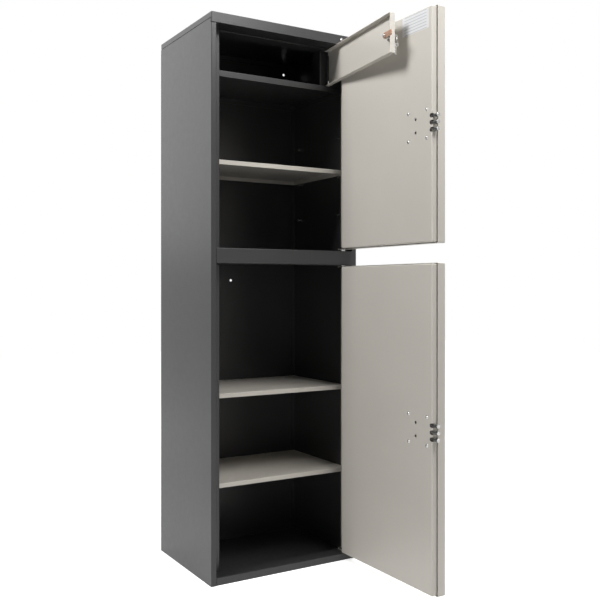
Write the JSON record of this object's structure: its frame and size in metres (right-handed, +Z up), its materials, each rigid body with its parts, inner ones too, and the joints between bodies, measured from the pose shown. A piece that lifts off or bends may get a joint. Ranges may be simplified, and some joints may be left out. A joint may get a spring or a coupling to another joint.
{
  "type": "metal office cabinet",
  "caption": "Tall sheet-steel office cabinet with an upper and a lower swing door with key locks, loose shelves and a lockable inner box at the top.",
  "frame": {"origin": "on the floor, under the middle of the carcass footprint", "axes": "+Z up, +Y to the back of the carcass, +X to the hinge side of the doors"},
  "size_m": [0.46, 0.7415, 1.49],
  "materials": {
    "carcass_paint": "textured dark grey powder coat",
    "door_paint": "fine-textured light grey powder coat",
    "shelf_paint": "fine-textured light grey powder coat",
    "bright_zinc": "bright zinc plating",
    "dark_steel": "dark oiled steel",
    "lock_chrome": "nickel plating",
    "cam_copper": "yellow passivated zinc plating"
  },
  "bodies": {
    "cabinet": {"left_side_panel": "carcass_paint", "right_side_panel": "carcass_paint", "back_panel": "carcass_paint", "top_cap": "carcass_paint", "base_panel": "carcass_paint", "middle_divider": "carcass_paint", "stop_strip_upper": "carcass_paint", "stop_strip_lower": "carcass_paint", "shelf_studs": "bright_zinc", "hinge_bushes": "bright_zinc", "thrust_washers": "bright_zinc", "box_floor": "carcass_paint", "box_header": "carcass_paint", "box_hinge_jamb": "carcass_paint", "box_lock_post": "carcass_paint", "upper_shelf": "shelf_paint", "lower_shelf_high": "shelf_paint", "lower_shelf_low": "shelf_paint"},
    "upper_door": {"upper_door_skin": "door_paint", "upper_door_liner": "door_paint", "upper_pivot_plates": "dark_steel", "upper_hinge_pins": "bright_zinc", "upper_lock_case": "dark_steel", "upper_lock_rivets": "bright_zinc", "upper_escutcheon": "lock_chrome"},
    "upper_bolts": {"upper_bolt_carriage": "dark_steel", "upper_lock_bolts": "bright_zinc"},
    "upper_lock_turn": {"upper_lock_plug": "lock_chrome"},
    "lower_door": {"lower_door_skin": "door_paint", "lower_door_liner": "door_paint", "lower_pivot_plates": "dark_steel", "lower_hinge_pins": "bright_zinc", "lower_lock_case": "dark_steel", "lower_lock_rivets": "bright_zinc", "lower_escutcheon": "lock_chrome"},
    "lower_bolts": {"lower_bolt_carriage": "dark_steel", "lower_lock_bolts": "bright_zinc"},
    "lower_lock_turn": {"lower_lock_plug": "lock_chrome"},
    "box_door": {"box_door_panel": "door_paint", "box_hinge_pins": "bright_zinc", "cam_lock_barrel": "lock_chrome", "cam_lock_nut": "dark_steel"},
    "box_lock_turn": {"cam_lock_core": "lock_chrome", "lock_cam": "cam_copper", "cam_screw": "bright_zinc", "box_key": "lock_chrome"},
    "key_ring": {"key_ring": "lock_chrome", "spare_key": "lock_chrome"}
  },
  "joints": [
    {"name": "upper_door_swing", "type": "hinge", "parent": "cabinet", "child": "upper_door", "pos_m": [0.196, -0.152, 1.17225], "axis": [0, 0, 1], "range_deg": [-90, 0]},
    {"name": "upper_bolt_slide", "type": "slide", "parent": "upper_door", "child": "upper_bolts", "axis": [0, 1, 0], "range_m": [0, 0.012]},
    {"name": "upper_plug_turn", "type": "hinge", "parent": "upper_door", "child": "upper_lock_turn", "pos_m": [0.214, -0.4955, 1.175], "axis": [-1, 0, 0], "range_deg": [0, 90]},
    {"name": "lower_door_swing", "type": "hinge", "parent": "cabinet", "child": "lower_door", "pos_m": [0.196, -0.152, 0.42875], "axis": [0, 0, 1], "range_deg": [-90, 0]},
    {"name": "lower_bolt_slide", "type": "slide", "parent": "lower_door", "child": "lower_bolts", "axis": [0, 1, 0], "range_m": [0, 0.012]},
    {"name": "lower_plug_turn", "type": "hinge", "parent": "lower_door", "child": "lower_lock_turn", "pos_m": [0.214, -0.4955, 0.4225], "axis": [-1, 0, 0], "range_deg": [0, 90]},
    {"name": "box_door_swing", "type": "hinge", "parent": "cabinet", "child": "box_door", "pos_m": [0.1791, -0.1035, 1.406], "axis": [0, 0, 1], "range_deg": [-82.5, 0]},
    {"name": "box_lock_turn_joint", "type": "hinge", "parent": "box_door", "child": "box_lock_turn", "pos_m": [0.13819, -0.44488, 1.406], "axis": [0.9914, -0.1305, 0], "range_deg": [0, 90]},
    {"name": "key_ring_swing", "type": "hinge", "parent": "box_lock_turn", "child": "key_ring", "pos_m": [0.15207, -0.44671, 1.4047], "axis": [0.9914, -0.1305, 0], "range_deg": [-10, 10]}
  ],
  "couplings": [
    {"joint": "upper_plug_turn", "follows": "upper_bolt_slide", "rad_per_m": 130.9},
    {"joint": "lower_plug_turn", "follows": "lower_bolt_slide", "rad_per_m": 130.9},
    {"joint": "box_door_swing", "follows": "upper_door_swing", "ratio": 0.91667}
  ]
}
